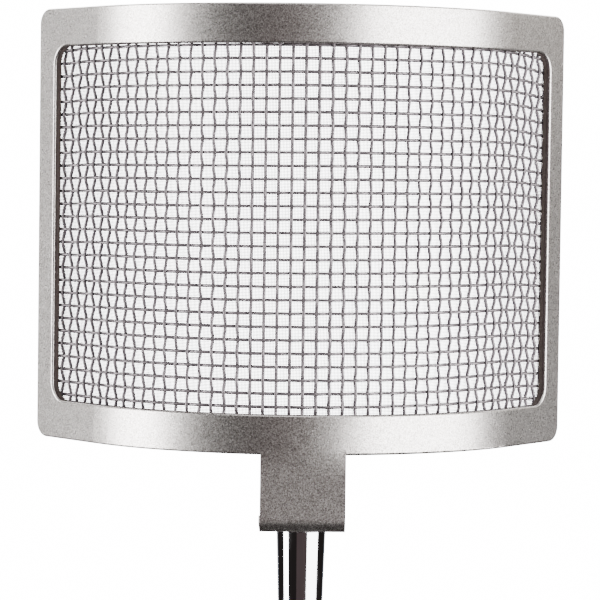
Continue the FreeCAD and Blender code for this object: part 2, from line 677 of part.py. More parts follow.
lower = place(turned("lower_ferrule_body", [
    ("0", "0"),
    ("Sizes.lower_low - Sizes.ferrule_mouth", "0"),
    ("Sizes.lower_low", "Sizes.ferrule_mouth"),
    ("Sizes.lower_low", "Sizes.lower_collar"),
    ("Sizes.lower_top", "Sizes.lower_long - Sizes.ferrule_mouth"),
    ("Sizes.lower_top - Sizes.ferrule_mouth", "Sizes.lower_long"),
    ("0", "Sizes.lower_long"),
]), "0", NECK_Y, CLAMP_TOP)
bore = cylinder("lower_bore", "Sizes.ferrule_bore", "Sizes.neck_tuck + 2 * Sizes.ferrule_relief",
                along=NECK_Y, up=f"{NECK_FOOT} - Sizes.neck_tuck - Sizes.ferrule_relief")
tapped = cylinder("lower_tapped", "Sizes.stud_radius + Sizes.thread_play", "2 * Sizes.stud_bore",
                  along=NECK_Y, up=f"{CLAMP_TOP} - Sizes.stud_bore")
node("lower_ferrule", cut("lower_ferrule_solid", lower, fuse("lower_holes", [bore, tapped])))
node("ferrule_stud", cylinder("ferrule_stud_bar", "Sizes.stud_radius", "Sizes.stud_long",
                              along=NECK_Y, up=f"{CLAMP_TOP} + Sizes.stud_grip - Sizes.stud_long"))
nut = doc.addObject("Part::Prism", "stud_nut_hexagon")
nut.Polygon = 6
bind(nut, Circumradius="Sizes.nut_radius", Height="Sizes.nut_high")
place(nut, "0", NECK_Y, "-Sizes.body_height / 2 + Sizes.nut_sink")
nut_hole = cylinder("stud_nut_hole", "Sizes.stud_radius + Sizes.thread_play", "Sizes.past",
                    along=NECK_Y, up=LOW)
node("stud_nut", cut("stud_nut_solid", nut, nut_hole))

bush = cylinder("screw_bush_out", "Sizes.bush_radius - Sizes.thread_play",
                "Sizes.arm_out - Sizes.arm_in - 2 * Sizes.bush_sink",
                along="Sizes.arm_in + Sizes.bush_sink", turn=LYING)
bush_hole = cylinder("screw_bush_in", "Sizes.clamp_screw_radius + Sizes.bush_play", "Sizes.past", turn=LYING)
node("screw_bush", cut("screw_bush_solid", bush, bush_hole))

# ---------------------------------------------------------------- pressure pad, screw and knob
PAD_CUP = "(Sizes.pad_face + Sizes.pad_rubber_thick)"
TIP = f"({PAD_CUP} + Sizes.tip_sink)"
cup = cylinder("pad_cup", "Sizes.pad_radius", "Sizes.pad_deep", along=PAD_CUP, turn=LYING)
pocket = fuse("pad_pocket", [
    ball("pad_pocket_ball", "Sizes.tip_radius + Sizes.tip_play", along=TIP),
    cylinder("pad_pocket_mouth", "Sizes.cup_mouth", "Sizes.pad_deep", along=TIP, turn=LYING),
])
node("pressure_pad", cut("pressure_pad_solid", cup, pocket))
node("pad_rubber", cylinder("pad_rubber_disc", "Sizes.pad_radius", "Sizes.pad_rubber_thick",
                            along="Sizes.pad_face", turn=LYING))

KNOB_END = "(Sizes.knob_start + Sizes.knob_long)"
THREAD_START = f"({TIP} + Sizes.neck_long)"
screw_parts = [
    ball("clamp_screw_tip", "Sizes.tip_radius", along=TIP),
    cylinder("clamp_screw_neck", "Sizes.screw_neck", "Sizes.neck_long + 1", along=TIP, turn=LYING),
    cylinder("clamp_screw_bar", "Sizes.clamp_screw_radius",
             f"{KNOB_END} - Sizes.screw_short - {THREAD_START}", along=THREAD_START, turn=LYING),
]
node("clamp_screw", fuse("clamp_screw_solid", screw_parts))

knob_round = cylinder("knob_round", "Sizes.knob_radius", "Sizes.knob_long",
                      along="Sizes.knob_start", turn=LYING)
knob_hub = cylinder("knob_hub", "Sizes.hub_radius", "2 * Sizes.hub_long",
                    along="Sizes.knob_start - Sizes.hub_long", turn=LYING)
scallops = []
lobes = int(size["knob_lobes"])
for n in range(lobes):
    turn = 360.0 * n / lobes
    out = "(Sizes.knob_radius + Sizes.scallop_out)"
    scallops.append(cylinder(f"knob_scallop_{n}", "Sizes.scallop_radius", "Sizes.past",
                             f"{out} * cos({turn} deg)", "Sizes.arm_in", f"{out} * sin({turn} deg)",
                             turn=LYING))
knob_bore = cylinder("knob_bore", "Sizes.clamp_screw_radius", "Sizes.knob_start",
                     along=f"{KNOB_END} - Sizes.knob_start - Sizes.cap_thick", turn=LYING)
cap_seat = cylinder("knob_cap_seat", "Sizes.cap_radius + Sizes.snug", "2 * Sizes.cap_thick",
                    along=f"{KNOB_END} - Sizes.cap_thick", turn=LYING)
knob_lobed = cut("knob_lobed", knob_round, fuse("knob_scallops", scallops))


def lobe_corner(e):
    """An edge along the knob, between a lobe and a scallop."""
    return e.Length > size["knob_long"] - 0.1 and isinstance(e.Curve, Part.Line)


def knob_rim(e):
    """An edge round one of the knob's two ends."""
    ends = (size["knob_start"], size["knob_start"] + size["knob_long"])
    return any(all(abs(v.Y - y) < 1e-3 for v in e.Vertexes) for y in ends)


knob_soft = round_edges("knob_soft", knob_lobed, size["lobe_round"], lobe_corner)
knob_softer = round_edges("knob_softer", knob_soft, size["end_round"], knob_rim)
node("knob", cut("knob_solid", fuse("knob_shape", [knob_softer, knob_hub]),
                 fuse("knob_holes", [knob_bore, cap_seat])))
node("knob_cap", cylinder("knob_cap_disc", "Sizes.cap_radius", "Sizes.cap_thick",
                          along=f"{KNOB_END} - Sizes.cap_thick", turn=LYING))

# ---------------------------------------------------------------- check and write
doc.recompute()
faults = [o.Name for o in doc.Objects if "Invalid" in o.State or "Error" in o.State]
if faults:
    raise SystemExit(f"these objects failed: {faults}")
os.makedirs("parts", exist_ok=True)
for label, thing in nodes.items():
    shape = thing.Shape
    if shape.isNull() or not shape.isValid() or not shape.Solids:
        raise SystemExit(f"{label} has no valid shape")
    shape.exportStep(f"parts/{label}.step")
    box = shape.BoundBox
    print(f"{label:20s} solids {len(shape.Solids):2d} volume {shape.Volume:9.1f} "
          f"x {box.XMin:.1f}..{box.XMax:.1f} y {box.YMin:.1f}..{box.YMax:.1f} "
          f"z {box.ZMin:.1f}..{box.ZMax:.1f}")
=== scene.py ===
import json
import math

import bmesh
import bpy
from mathutils import Euler, Matrix, Vector


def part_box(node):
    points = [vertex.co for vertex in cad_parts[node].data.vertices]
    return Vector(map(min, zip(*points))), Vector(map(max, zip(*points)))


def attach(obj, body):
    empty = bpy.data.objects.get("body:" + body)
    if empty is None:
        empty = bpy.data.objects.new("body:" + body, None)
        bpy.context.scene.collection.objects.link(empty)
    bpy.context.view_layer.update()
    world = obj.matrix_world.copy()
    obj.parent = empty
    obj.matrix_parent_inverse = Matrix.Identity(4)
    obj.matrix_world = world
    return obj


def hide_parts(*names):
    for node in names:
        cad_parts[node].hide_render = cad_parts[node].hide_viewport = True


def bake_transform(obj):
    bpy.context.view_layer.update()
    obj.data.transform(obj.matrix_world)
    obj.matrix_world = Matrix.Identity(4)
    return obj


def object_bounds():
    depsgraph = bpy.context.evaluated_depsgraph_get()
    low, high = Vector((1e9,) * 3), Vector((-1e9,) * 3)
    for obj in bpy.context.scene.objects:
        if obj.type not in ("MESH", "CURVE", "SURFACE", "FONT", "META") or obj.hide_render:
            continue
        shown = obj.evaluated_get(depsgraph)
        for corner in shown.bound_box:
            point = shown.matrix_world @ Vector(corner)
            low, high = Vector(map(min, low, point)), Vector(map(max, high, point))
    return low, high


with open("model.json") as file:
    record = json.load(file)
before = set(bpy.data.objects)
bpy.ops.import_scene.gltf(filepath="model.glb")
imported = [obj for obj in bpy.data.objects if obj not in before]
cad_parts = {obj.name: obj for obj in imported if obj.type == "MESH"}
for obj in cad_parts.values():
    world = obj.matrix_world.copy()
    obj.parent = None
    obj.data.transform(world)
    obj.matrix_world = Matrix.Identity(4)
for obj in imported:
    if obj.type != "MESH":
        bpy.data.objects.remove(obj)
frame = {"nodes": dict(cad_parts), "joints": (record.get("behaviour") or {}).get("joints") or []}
cad_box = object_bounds()
nodes = frame["nodes"]
mm = 0.001


# ---- Camera, studio and floor
# A long lens a little left of the filter's middle looks slightly down at its convex face.
# Two tall softboxes stand beside the lens, and the room behind the lens is dark.
cloth_low, cloth_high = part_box("outer_mesh")
face_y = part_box("front_bezel")[0].y
aim = Vector((0, face_y, (cloth_low.z + cloth_high.z) / 2))
turned = Euler((math.radians(2.635), math.radians(0.75), math.radians(1.757)), "ZXY")
look = turned.to_matrix().transposed()
aim_seen = Vector((1.647, 732.8, 18.267)) * mm

camera = bpy.data.objects.new("camera", bpy.data.cameras.new("camera"))
bpy.context.scene.collection.objects.link(camera)
camera.data.lens = 168.52
camera.data.clip_start = 0.05
stood_up = Matrix.Rotation(math.radians(90), 3, "X")
camera.matrix_world = Matrix.Translation(aim - look @ aim_seen) @ (look @ stood_up).to_4x4()
bpy.context.scene.camera = camera


def softbox(name, azimuth, elevation, distance, size, watts, tint=(1, 1, 1)):
    """A rectangular light; azimuth 0 is beside the lens and 90 to its right."""
    light = bpy.data.lights.new(name, "AREA")
    light.shape = "RECTANGLE"
    light.size, light.size_y = size
    light.energy = watts
    light.color = tint
    lamp = bpy.data.objects.new(name, light)
    bpy.context.scene.collection.objects.link(lamp)
    a, e = math.radians(azimuth), math.radians(elevation)
    away = Vector((math.sin(a) * math.cos(e), -math.cos(a) * math.cos(e), math.sin(e)))
    lamp.location = aim + away * distance
    lamp.rotation_euler = (-away).to_track_quat("-Z", "Y").to_euler()
    lamp.visible_camera = False
    return lamp


softbox("right_softbox", 57.5, 2, 1.3, (1.45, 1.5), 82)
softbox("right_feather", 104, 18, 1.3, (0.7, 0.5), 1.4, (1.0, 0.95, 0.86))
softbox("left_softbox", -79, 2, 1.3, (0.64, 1.5), 47)
softbox("lens_side_panel", 1, 0, 1.6, (1.36, 1.6), 0.48, (1.0, 0.70, 0.72))
softbox("top_softbox", 10, 72, 1.3, (1.2, 1.2), 10)
softbox("rear_softbox", 180, 28, 1.4, (1.6, 0.7), 14)
softbox("rear_left_softbox", -150, 38, 1.5, (1.0, 1.0), 18)
softbox("rear_right_softbox", 150, 38, 1.5, (1.0, 1.0), 18)
softbox("sweep_glow", 180, -22, 1.2, (1.6, 0.4), 0.8, (0.80, 0.89, 1.0))

room = bpy.data.worlds.new("room")
bpy.context.scene.world = room
room.use_nodes = True
links, shades = room.node_tree.links, room.node_tree.nodes
seen = shades.new("ShaderNodeLightPath")


def wall(colour, strength):
    """One of the room's plain surroundings."""
    shade = shades.new("ShaderNodeBackground")
    shade.inputs["Color"].default_value = (*colour, 1)
    shade.inputs["Strength"].default_value = strength
    return shade


def either(test, otherwise, chosen):
    """One surrounding or another, by what kind of ray asks."""
    mix = shades.new("ShaderNodeMixShader")
    links.new(seen.outputs[test], mix.inputs["Fac"])
    links.new(otherwise.outputs[0], mix.inputs[1])
    links.new(chosen.outputs[0], mix.inputs[2])
    return mix


soft_fill = wall((1.0, 0.97, 0.94), 0.30)
dark_room = wall((1.0, 0.84, 0.82), 0.02)
white_sweep = wall((1.0, 1.0, 1.0), 16.0)
lit = either("Is Camera Ray", either("Is Glossy Ray", soft_fill, dark_room), white_sweep)
links.new(lit.outputs[0], shades["World Output"].inputs["Surface"])


def made(name, shape, crease=180):
    """Ends a bmesh and links it at the origin, smooth up to a crease of so many degrees."""
    mesh = bpy.data.meshes.new(name)
    shape.to_mesh(mesh)
    shape.free()
    mesh.shade_smooth()
    if crease < 180:
        mesh.set_sharp_from_angle(angle=math.radians(crease))
    thing = bpy.data.objects.new(name, mesh)
    bpy.context.scene.collection.objects.link(thing)
    return thing


floor_radius = 1.3
floor_mesh = bmesh.new()
bmesh.ops.create_circle(floor_mesh, cap_ends=True, segments=96, radius=floor_radius)
bmesh.ops.translate(floor_mesh, verts=floor_mesh.verts, vec=(0, 0, cad_box[0].z - 1 * mm))
floor = made("studio_floor", floor_mesh)
floor.visible_glossy = False
floor.visible_shadow = False


class Value:
    """One output of a material's node; arithmetic on it adds Math nodes."""

    def __init__(self, finish, socket):
        self.finish = finish
        self.socket = socket

    def _math(self, operation, first, second):
        return self.finish.add("ShaderNodeMath", {"operation": operation}, {0: first, 1: second})

    def __add__(self, other):
        return self._math("ADD", self, other)

    __radd__ = __add__

    def __mul__(self, other):
        return self._math("MULTIPLY", self, other)

    __rmul__ = __mul__

    def __sub__(self, other):
        return self._math("SUBTRACT", self, other)

    def __rsub__(self, other):
        return self._math("SUBTRACT", other, self)

    def __gt__(self, other):
        return self._math("GREATER_THAN", self, other)

    def __lt__(self, other):
        return self._math("LESS_THAN", self, other)


class Finish:
    """A material with one Principled surface; add() puts in any other node."""

    def __init__(self, name, colour, metallic=0.0, roughness=0.5, **more):
        self.material = bpy.data.materials.new(name)
        self.material.use_nodes = True
        self.tree = self.material.node_tree
        self.surface = self.tree.nodes["Principled BSDF"]
        self.set("Base Color", (*colour, 1))
        self.set("Metallic", metallic)
        self.set("Roughness", roughness)
        for socket, value in more.items():
            self.set(socket.replace("_", " "), value)

    def set(self, socket, value, node=None):
        """Gives a socket a constant, or links a Value to it."""
        into = (node or self.surface).inputs[socket]
        if isinstance(value, Value):
            self.tree.links.new(value.socket, into)
        else:
            into.default_value = value

    def add(self, kind, settings, sockets, output=0):
        node = self.tree.nodes.new(kind)
        for name, value in settings.items():
            setattr(node, name, value)
        for socket, value in sockets.items():
            self.set(socket, value, node)
        return Value(self, node.outputs[output])

    def place(self):
        return self.add("ShaderNodeTexCoord", {}, {}, "Object")

    def noise(self, size, detail=2.0, at=None, stretch=None):
        """Noise whose features are about size metres across, from 0 to 1."""
        at = at or self.place()
        if stretch:
            at = self.add("ShaderNodeMapping", {}, {"Vector": at, "Scale": stretch})
        return self.add("ShaderNodeTexNoise", {}, {"Vector": at, "Scale": 1 / size, "Detail": detail})

    def spread(self, value, low, high, to_low, to_high):
        """Maps low..high to to_low..to_high, held at both ends."""
        sockets = {0: value, 1: low, 2: high, 3: to_low, 4: to_high}
        return self.add("ShaderNodeMapRange", {"clamp": True}, sockets)

    def blend(self, amount, first, second):
        """A colour that goes from first to second with amount."""
        mix = self.tree.nodes.new("ShaderNodeMix")
        mix.data_type = "RGBA"
        for socket, value in ((0, amount), (6, first), (7, second)):
            if isinstance(value, tuple):
                value = (*value, 1)
            if isinstance(value, Value):
                self.tree.links.new(value.socket, mix.inputs[socket])
            else:
                mix.inputs[socket].default_value = value
        return Value(self, mix.outputs[2])

    def bump(self, height, depth, strength=1.0, under=None):
        """A normal that follows a height from 0 to 1, depth metres deep."""
        sockets = {"Height": height, "Distance": depth, "Strength": strength}
        if under:
            sockets["Normal"] = under
        return self.add("ShaderNodeBump", {}, sockets, "Normal")

    def put_on(self, *things):
        for thing in things:
            thing.data.materials.clear()
            thing.data.materials.append(self.material)


floor_paper = Finish("studio_paper", (0.86, 0.86, 0.86), roughness=0.8)
floor_paper.set("Roughness", floor_paper.spread(floor_paper.noise(0.08), 0.3, 0.7, 0.74, 0.86))
floor_paper.put_on(floor)


# ---- Clamp body
# A C-shaped zinc casting with a round saddle for the stand tube, powder-coated black.
# The coat has an orange-peel skin and is rubbed thin in a few places.
coat = Finish("black_powder_coat", (0.03, 0.03, 0.032), roughness=0.45)
peel = coat.noise(0.9 * mm, 3.0)
rubbed = coat.spread(coat.noise(14 * mm, 6.0), 0.52, 0.72, 0.0, 1.0)
coat.set("Base Color", coat.blend(rubbed, (0.012, 0.012, 0.013), (0.022, 0.021, 0.020)))
coat.set("Roughness", coat.spread(rubbed, 0.0, 1.0, 0.46, 0.38))
coat.set("Normal", coat.bump(peel, 0.06 * mm, 0.7))
coat.put_on(nodes["clamp_body"])


# ---- Saddle liner and pad rubber
# Moulded black rubber that keeps the clamp from marking the tube; fine ribs run across the grip.
rubber = Finish("moulded_rubber", (0.025, 0.025, 0.025), roughness=0.75)
rib_pitch = 1.6 * mm
place = rubber.place()
height = rubber.add("ShaderNodeSeparateXYZ", {}, {0: place}, "Z")
ribs = rubber.add("ShaderNodeMath", {"operation": "PINGPONG"}, {0: height, 1: rib_pitch / 2})
groove = rubber.spread(ribs, 0.1 * mm, 0.35 * mm, 0.0, 1.0)
dust = rubber.spread(rubber.noise(3 * mm, 5.0), 0.45, 0.75, 0.0, 1.0)
rubber.set("Base Color", rubber.blend(dust, (0.018, 0.018, 0.018), (0.05, 0.048, 0.045)))
rubber.set("Roughness", rubber.spread(dust, 0.0, 1.0, 0.68, 0.88))
rubber.set("Normal", rubber.bump(groove, 0.4 * mm, 0.8, rubber.bump(rubber.noise(0.3 * mm), 0.02 * mm)))
rubber.put_on(nodes["saddle_liner"], nodes["pad_rubber"])


# ---- Threaded bush
# Turned brass pressed into the clamp's arm; its ends show the tool's rings.
brass = Finish("turned_brass", (0.60, 0.42, 0.17), metallic=1.0, roughness=0.3)
x_y_z = brass.place()
across = brass.add("ShaderNodeSeparateXYZ", {}, {0: x_y_z}, "X")
upward = brass.add("ShaderNodeSeparateXYZ", {}, {0: x_y_z}, "Z")
ring_pitch = 0.25 * mm
from_axis = brass.add(
    "ShaderNodeMath", {"operation": "POWER"}, {0: across * across + upward * upward, 1: 0.5})
rings = brass.add("ShaderNodeMath", {"operation": "SINE"}, {0: from_axis * (2 * math.pi / ring_pitch)})
tarnish = brass.spread(brass.noise(2.5 * mm, 4.0), 0.4, 0.7, 0.0, 1.0)
brass.set("Base Color", brass.blend(tarnish, (0.66, 0.47, 0.19), (0.38, 0.26, 0.12)))
brass.set("Roughness", brass.spread(tarnish, 0.0, 1.0, 0.24, 0.42))
brass.set("Normal", brass.bump(rings, 0.01 * mm, 0.5))
brass.put_on(nodes["screw_bush"])


# ---- Ferrules
# Two tapered steel sleeves, turned and chrome-plated, that hold the ends of the gooseneck.
chrome = Finish("bright_chrome", (0.78, 0.78, 0.80), metallic=1.0, roughness=0.06)
chrome_at = chrome.place()
turning = chrome.noise(0.12 * mm, 2.0, chrome_at, (0.02, 0.02, 1.0))
smear = chrome.spread(chrome.noise(9 * mm, 5.0), 0.45, 0.75, 0.0, 1.0)
chrome.set("Base Color", chrome.blend(smear, (0.80, 0.80, 0.815), (0.70, 0.70, 0.71)))
chrome.set("Roughness", chrome.spread(smear, 0.0, 1.0, 0.05, 0.13))
chrome.set("Normal", chrome.bump(turning, 0.0015 * mm, 0.4))
chrome.put_on(nodes["upper_ferrule"], nodes["lower_ferrule"])


# ---- Gooseneck
# A steel wire wound tight into a tube that stays where it is bent, plated like the ferrules.
# Each length reaches from the middle of one link to the middle of the next, centred on the joint
# between them.
neck_radius = 4.5 * mm
neck_core = 3.7 * mm
bends = [j for j in frame["joints"] if j["name"].startswith("neck_bend")]
neck_pitch = bends[1]["pos_m"][2] - bends[0]["pos_m"][2]
neck_y = bends[0]["pos_m"][1]
turns_in_length = 16
wire_pitch = neck_pitch / turns_in_length
neck_tuck = 3

wound = Finish("wound_chrome_wire", (0.70, 0.70, 0.72), metallic=1.0, roughness=0.14)
grime = wound.spread(wound.noise(6 * mm, 4.0), 0.4, 0.75, 0.0, 1.0)
drawn = wound.noise(0.08 * mm, 2.0, wound.place(), (1.0, 1.0, 0.15))
wound.set("Base Color", wound.blend(grime, (0.74, 0.74, 0.755), (0.50, 0.49, 0.48)))
wound.set("Roughness", wound.spread(grime, 0.0, 1.0, 0.10, 0.26))
wound.set("Normal", wound.bump(drawn, 0.004 * mm, 0.5))


def coil(name, foot, turns):
    """A wound tube: one wire's bulging outside, spun up a screw line."""
    shape = bmesh.new()
    bulge = 6
    ring = []
    for i in range(bulge + 1):
        round_wire = math.pi * i / bulge
        out = neck_core + (neck_radius - neck_core) * math.sin(round_wire)
        up = wire_pitch * (1 - math.cos(round_wire)) / 2
        ring.append(shape.verts.new((out, neck_y, foot + up)))
    edges = [shape.edges.new(pair) for pair in zip(ring, ring[1:])]
    steps = 28
    bmesh.ops.spin(
        shape, geom=ring + edges, cent=(0, neck_y, foot), axis=(0, 0, 1),
        dvec=(0, 0, wire_pitch / steps), angle=math.tau * turns, steps=steps * turns, use_merge=False,
    )
    bmesh.ops.remove_doubles(shape, verts=shape.verts, dist=0.02 * mm)
    bmesh.ops.recalc_face_normals(shape, faces=shape.faces)
    return made(name, shape)


for n, bend in enumerate(bends, start=1):
    joint_z = bend["pos_m"][2]
    foot = joint_z - neck_pitch / 2
    turns = turns_in_length
    if n == 1:
        foot -= neck_tuck * wire_pitch
        turns += neck_tuck
    if n == len(bends):
        turns += neck_tuck
    length = coil(f"gooseneck_coil_{n}", foot - wire_pitch / 2, turns)
    stands_for = ["gooseneck_foot" if n == 1 else f"gooseneck_link_{n - 1}"]
    if n == len(bends):
        stands_for.append("gooseneck_top")
    wound.put_on(length)
    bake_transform(length)
    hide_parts(*stands_for)


# ---- Stud, nut, spring washer and pressure pad
# Zinc-plated steel, with the faint yellow-blue bloom that the plating leaves.
zinc = Finish("zinc_plated_steel", (0.6, 0.6, 0.61), metallic=1.0, roughness=0.3)
bloom = zinc.spread(zinc.noise(4 * mm, 3.0), 0.35, 0.65, 0.0, 1.0)
grain = zinc.noise(0.15 * mm, 3.0)
zinc.set("Base Color", zinc.blend(bloom, (0.62, 0.61, 0.56), (0.54, 0.58, 0.64)))
zinc.set("Roughness", zinc.spread(grain, 0.3, 0.7, 0.24, 0.38))
zinc.set("Normal", zinc.bump(grain, 0.006 * mm, 0.6))
zinc.put_on(*(nodes[n] for n in ("ferrule_stud", "stud_nut", "spring_washer", "pressure_pad")))


# ---- Clamp screw
# A rolled steel thread that ends in a ball inside the pressure pad.
screw_low, screw_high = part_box("clamp_screw")
screw_radius = 3.95 * mm
thread_pitch = 1.25 * mm
thread_depth = 0.65 * mm
ball_radius = 2.8 * mm
stem_radius = 2.1 * mm
stem_long = 7.9 * mm
thread_foot = screw_low.y + stem_long
thread_turns = int((screw_high.y - thread_foot) / thread_pitch)


def thread():
    """A V-shaped thread spun along +Y, closed by a cap at each end."""
    shape = bmesh.new()
    core = screw_radius - thread_depth
    profile = [(core, 0.0), (core, 0.10), (screw_radius, 0.45), (screw_radius, 0.60), (core, 1.0)]
    line = [shape.verts.new((r, thread_foot + along * thread_pitch, 0)) for r, along in profile]
    edges = [shape.edges.new(pair) for pair in zip(line, line[1:])]
    steps = 28
    bmesh.ops.spin(
        shape, geom=line + edges, cent=(0, thread_foot, 0), axis=(0, 1, 0),
        dvec=(0, thread_pitch / steps, 0), angle=math.tau * (thread_turns - 1),
        steps=steps * (thread_turns - 1), use_merge=False,
    )
    bmesh.ops.remove_doubles(shape, verts=shape.verts, dist=0.01 * mm)
    bmesh.ops.recalc_face_normals(shape, faces=shape.faces)
    quarter = Matrix.Rotation(math.radians(-90), 4, "X")
    for radius, low, high in (
        (stem_radius, screw_low.y + ball_radius, thread_foot + 1 * mm),
        (core + 0.02 * mm, thread_foot, screw_high.y),
    ):
        place = Matrix.Translation((0, (low + high) / 2, 0)) @ quarter
        bmesh.ops.create_cone(
            shape, cap_ends=True, segments=32, radius1=radius, radius2=radius,
            depth=high - low, matrix=place,
        )
    tip = Matrix.Translation((0, screw_low.y + ball_radius, 0))
    bmesh.ops.create_uvsphere(shape, u_segments=32, v_segments=16, radius=ball_radius, matrix=tip)
    return made("clamp_screw_thread", shape)


screw = thread()
zinc.put_on(screw)
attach(screw, "screw_and_knob")
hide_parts("clamp_screw")


# ---- Knob
# Moulded black nylon with seven lobes for the fingers, and a fine spark-eroded grain.
nylon = Finish("black_nylon", (0.03, 0.03, 0.03), roughness=0.5)
grain = nylon.noise(0.35 * mm, 3.0)
worn = nylon.spread(nylon.noise(8 * mm, 5.0), 0.5, 0.75, 0.0, 1.0)
nylon.set("Base Color", nylon.blend(worn, (0.014, 0.014, 0.014), (0.03, 0.03, 0.03)))
nylon.set("Roughness", nylon.spread(worn, 0.0, 1.0, 0.55, 0.40))
nylon.set("Normal", nylon.bump(grain, 0.03 * mm, 0.7))
nylon.put_on(nodes["knob"])


# ---- Knob cap
# A smooth moulded disc pressed into the knob's end, with a thin scratched gloss.
cap = Finish("gloss_cap", (0.035, 0.035, 0.037), roughness=0.16, Coat_Weight=0.4)
scratch = cap.noise(0.4 * mm, 4.0, cap.place(), (1.0, 1.0, 0.06))
cap.set("Roughness", cap.spread(scratch, 0.4, 0.75, 0.12, 0.34))
cap.set("Normal", cap.bump(scratch, 0.004 * mm, 0.5))
cap.put_on(nodes["knob_cap"])


# ---- Friction washer
# A plain nylon washer that lets the head turn on the ferrule; it takes a waxy sheen.
waxy = Finish("natural_nylon", (0.72, 0.70, 0.62), roughness=0.42)
waxy.set("Base Color", waxy.blend(waxy.noise(2 * mm, 3.0), (0.66, 0.64, 0.56), (0.78, 0.76, 0.69)))
waxy.put_on(nodes["friction_washer"])


# ---- Head screw
# A blackened button-head screw with a hexagon socket; the oxide is uneven and slightly brown.
oxide = Finish("black_oxide", (0.03, 0.03, 0.032), metallic=0.9, roughness=0.35)
brown = oxide.spread(oxide.noise(1.6 * mm, 4.0), 0.4, 0.7, 0.0, 1.0)
oxide.set("Base Color", oxide.blend(brown, (0.045, 0.045, 0.05), (0.085, 0.07, 0.06)))
oxide.set("Roughness", oxide.spread(brown, 0.0, 1.0, 0.30, 0.46))
oxide.set("Normal", oxide.bump(oxide.noise(0.2 * mm), 0.01 * mm, 0.5))
oxide.put_on(nodes["head_screw"])


# ---- Bezel screws
# Five pan-head screws of the same blackened steel, which draw the rear bezel onto the meshes.
# Each turned head is domed and has a cross driven into it.
bend_radius = 71.2 * mm
bend_angle = math.radians(52)
centre_y = face_y + bend_radius
shank_radius = 1.0 * mm
shank_long = 5.0 * mm
pan_radius = 2.0 * mm
pan_high = 1.1 * mm
pan_seat = bend_radius - 5.45 * mm
cross_long, cross_wide, cross_deep = 2.5 * mm, 0.55 * mm, 0.7 * mm


def crossed_screw():
    """One screw along +Y, with its head's underside at the origin."""
    section = (
        (0, -shank_long), (0.7 * shank_radius, -shank_long), (shank_radius, -0.9 * shank_long),
        (shank_radius, 0), (pan_radius, 0), (pan_radius, 0.45 * pan_high),
        (0.82 * pan_radius, 0.86 * pan_high), (0.45 * pan_radius, pan_high), (0, pan_high),
    )
    shape = bmesh.new()
    line = [shape.verts.new((out, along, 0)) for out, along in section]
    edges = [shape.edges.new(pair) for pair in zip(line, line[1:])]
    bmesh.ops.spin(shape, geom=line + edges, cent=(0, 0, 0), axis=(0, 1, 0), angle=math.tau,
                   steps=32, use_merge=True)
    bmesh.ops.remove_doubles(shape, verts=shape.verts, dist=0.01 * mm)
    bmesh.ops.recalc_face_normals(shape, faces=shape.faces)
    screw = made("bezel_screw_blank", shape)
    blades = []
    for wide, tall in ((cross_long, cross_wide), (cross_wide, cross_long)):
        tool = bmesh.new()
        place = Matrix.Translation((0, pan_high, 0)) @ Matrix.Diagonal((wide, 2 * cross_deep, tall, 1))
        bmesh.ops.create_cube(tool, size=1, matrix=place)
        blades.append(made("cross_driver", tool))
        recess = screw.modifiers.new("recess", "BOOLEAN")
        recess.object = blades[-1]
    bpy.context.view_layer.update()
    mesh = bpy.data.meshes.new_from_object(screw.evaluated_get(bpy.context.evaluated_depsgraph_get()))
    for used in (screw, *blades):
        bpy.data.objects.remove(used)
    return mesh


screws_low, screws_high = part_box("bezel_screws")
one_screw = crossed_screw()
all_screws = bmesh.new()
screw_rows = (
    (screws_low.z + pan_radius, (-36, 36)),
    (screws_high.z - pan_radius, (-36, 0, 36)),
)
for height, turns in screw_rows:
    for turn in turns:
        angle = math.radians(turn)
        seat = Vector((pan_seat * math.sin(angle), centre_y - pan_seat * math.cos(angle), height))
        before = len(all_screws.verts)
        all_screws.from_mesh(one_screw)
        all_screws.verts.ensure_lookup_table()
        bmesh.ops.transform(all_screws, verts=all_screws.verts[before:],
                            matrix=Matrix.Translation(seat) @ Matrix.Rotation(angle, 4, "Z"))
pan_screws = made("bezel_pan_screws", all_screws, crease=35)
oxide.put_on(pan_screws)
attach(pan_screws, "filter_head")
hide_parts("bezel_screws")


# ---- Bezels
# A pressed steel tray with a folded rim in front and a curved ring behind, both in a
# champagne-silver coat with a sandy skin, in which metal flakes glint.
# The window's inner wall is painted dark brown and without metal: a painted shade for the shade that
# falls on it behind the band.
sand = Finish("sand_silver_coat", (0.55, 0.51, 0.46), metallic=1.0, roughness=0.25)
sand_at = sand.place()
coarse = sand.noise(0.48 * mm, 3.0, sand_at)
fine = sand.noise(0.26 * mm, 2.0, sand_at)
flake_size = 0.30 * mm
flake = sand.add(
    "ShaderNodeTexVoronoi", {"feature": "F1"}, {"Vector": sand_at, "Scale": 1 / flake_size}, "Color")
glint = sand.add("ShaderNodeSeparateColor", {}, {0: flake}, "Red")
mottle = sand.spread(coarse * 0.35 + fine * 0.65, 0.38, 0.62, 0.0, 1.0)
aside = sand.add("ShaderNodeMath", {"operation": "ABSOLUTE"}, {
    0: sand.add("ShaderNodeSeparateXYZ", {}, {0: sand_at}, "X")})
ahead = centre_y - sand.add("ShaderNodeSeparateXYZ", {}, {0: sand_at}, "Y")
up = sand.add("ShaderNodeSeparateXYZ", {}, {0: sand_at}, "Z")
cloth_middle = (cloth_low.z + cloth_high.z) / 2
from_middle = sand.add("ShaderNodeMath", {"operation": "ABSOLUTE"}, {0: up - cloth_middle})
on_arc = sand.add("ShaderNodeMath", {"operation": "POWER"}, {0: aside * aside + ahead * ahead, 1: 0.5})
on_flank = aside * math.sin(bend_angle) + ahead * math.cos(bend_angle)
past_arc = aside > ahead * math.tan(bend_angle)
behind = bend_radius - (on_arc + (on_flank - on_arc) * past_arc)
edge_front, edge_back = 0.5 * mm, 1.3 * mm
edge_aside, edge_up = 70 * mm, 54 * mm
